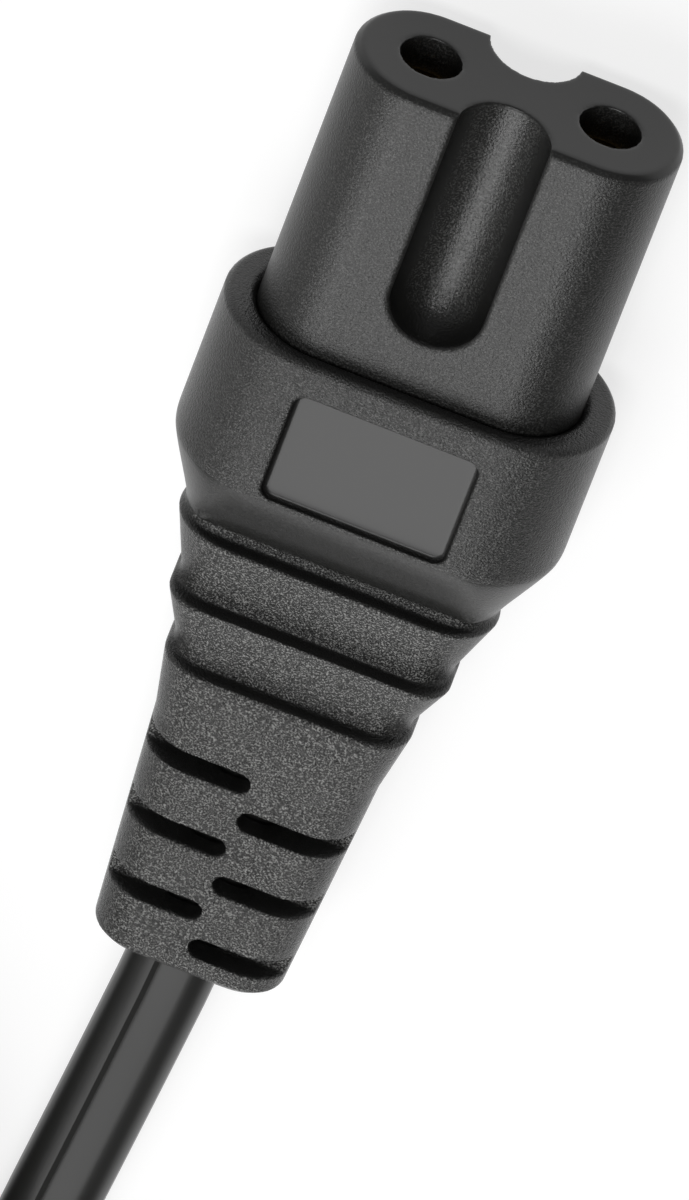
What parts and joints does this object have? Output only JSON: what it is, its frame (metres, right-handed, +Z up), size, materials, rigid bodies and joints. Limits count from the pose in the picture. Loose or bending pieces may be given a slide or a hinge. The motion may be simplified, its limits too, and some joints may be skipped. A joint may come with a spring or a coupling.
{
  "type": "figure eight power connector",
  "caption": "Moulded figure eight appliance connector with slotted strain relief, on a flat mains lead wound in a tied coil that ends in a flat round pin plug.",
  "frame": {"origin": "middle of the connector's underside, below the centre of its bounding box, with the lead left out", "axes": "+Y out of the nose along the connector's length, +Z up out of the face with the label panel, +X to the right seen from above with the nose pointing away"},
  "size_m": [0.0779, 0.1217, 0.0227],
  "materials": {
    "overmould_plastic": "black soft moulded plastic with a fine spark-eroded grain",
    "nose_plastic": "black hard moulded plastic, fine grain on the sides and smooth on the end face",
    "cord_jacket": "black extruded plastic, satin",
    "contact_brass": "formed brass strip",
    "strand_copper": "bare copper strands",
    "core_brown": "brown extruded insulation",
    "core_blue": "blue extruded insulation",
    "tie_plastic": "plastic coated wire",
    "pin_brass": "nickel plated brass, bright"
  },
  "bodies": {
    "root": {"nose_insert": "nose_plastic", "connector_overmould": "overmould_plastic", "contact_left": "contact_brass", "contact_right": "contact_brass", "conductor_left": "strand_copper", "conductor_right": "strand_copper", "core_left": "core_brown", "core_right": "core_blue", "cord_lead": "cord_jacket", "cord_coil": "cord_jacket", "cord_tie": "tie_plastic", "cord_tail": "cord_jacket", "plug_overmould": "overmould_plastic", "plug_bridge": "nose_plastic", "plug_pin_left": "pin_brass", "plug_pin_right": "pin_brass", "plug_sleeve_left": "nose_plastic", "plug_sleeve_right": "nose_plastic", "plug_core_left": "core_brown", "plug_core_right": "core_blue", "plug_conductor_left": "strand_copper", "plug_conductor_right": "strand_copper"}
  },
  "joints": []
}
